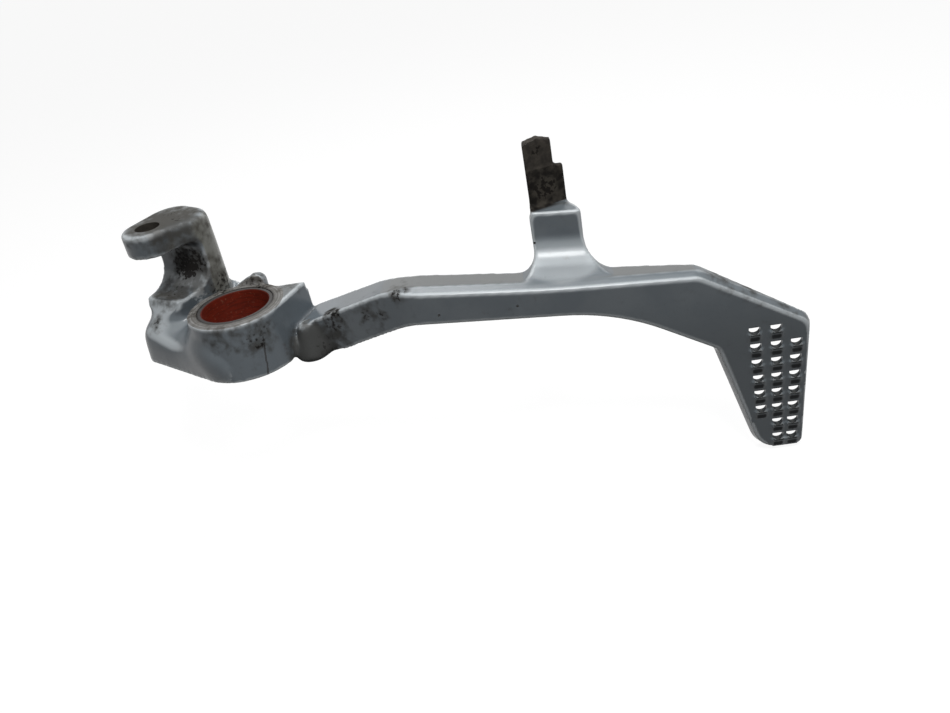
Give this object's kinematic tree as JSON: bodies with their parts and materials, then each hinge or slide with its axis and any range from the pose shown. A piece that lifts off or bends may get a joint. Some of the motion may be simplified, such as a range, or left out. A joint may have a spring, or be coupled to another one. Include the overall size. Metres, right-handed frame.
{
  "type": "rear brake pedal",
  "caption": "Cast foot lever with a bushed pivot boss, cranked arm, perforated tread, stop post and a forked push-rod lug.",
  "frame": {"origin": "middle of the pivot bore, on its axis", "axes": "+Z along the pivot bore, out of the boss's machined face; +X along the arm to the tread; the tread's face looks along -Y"},
  "size_m": [0.2158, 0.0499, 0.1105],
  "materials": {
    "painted_casting": "silver-grey paint on a cast surface, worn and dirty",
    "bush_lining": "red-brown plain-bearing lining, satin"
  },
  "bodies": {
    "root": {"pedal_lever": "painted_casting", "pivot_bush": "bush_lining"}
  },
  "joints": []
}
